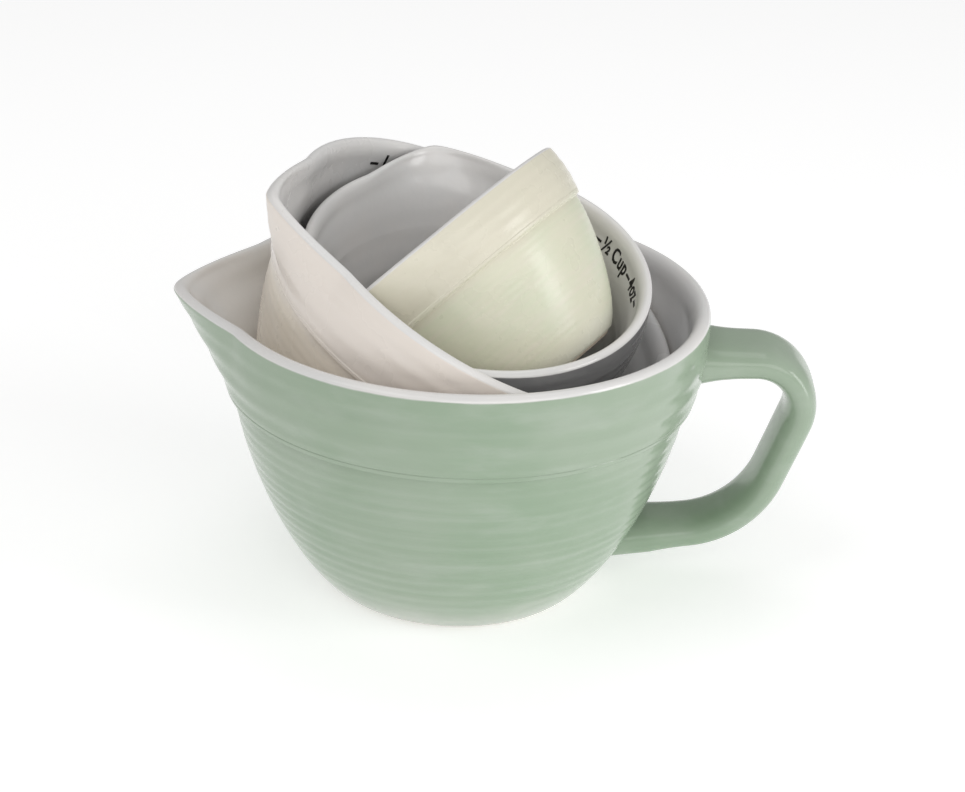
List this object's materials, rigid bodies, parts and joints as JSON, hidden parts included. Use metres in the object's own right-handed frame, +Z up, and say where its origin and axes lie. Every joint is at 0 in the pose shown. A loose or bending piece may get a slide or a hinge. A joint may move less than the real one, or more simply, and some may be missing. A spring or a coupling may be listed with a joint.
{
  "type": "nesting measuring cup set",
  "caption": "Nesting stoneware measuring cups shaped like small batter bowls with pouring spouts; the largest has a strap handle and holds the others, which lift out.",
  "frame": {"origin": "centre of the large cup's foot ring, on the surface it stands on", "axes": "+Z up along the large cup's axis; the large cup's spout points to -X and its handle to +X"},
  "size_m": [0.1472, 0.112, 0.1064],
  "materials": {
    "green_glaze": "glossy",
    "green_glaze_handle": "glossy",
    "pink_glaze": "glossy",
    "grey_glaze": "glossy",
    "pale_lime_glaze": "glossy"
  },
  "bodies": {
    "large_cup": {"large_bowl": "green_glaze", "large_handle": "green_glaze_handle"},
    "second_cup": {"second_cup": "pink_glaze"},
    "third_cup": {"third_cup": "grey_glaze"},
    "fourth_cup": {"fourth_cup": "pale_lime_glaze"}
  },
  "joints": [
    {"name": "second_cup_lift", "type": "slide", "parent": "large_cup", "child": "second_cup", "axis": [0, 0, 1], "range_m": [0, 0.075]},
    {"name": "third_cup_lift", "type": "slide", "parent": "second_cup", "child": "third_cup", "axis": [0.4592, -0.0976, 0.8829], "range_m": [0, 0.065]},
    {"name": "fourth_cup_lift", "type": "slide", "parent": "third_cup", "child": "fourth_cup", "axis": [0.1111, -0.2449, 0.9632], "range_m": [0, 0.055]}
  ]
}
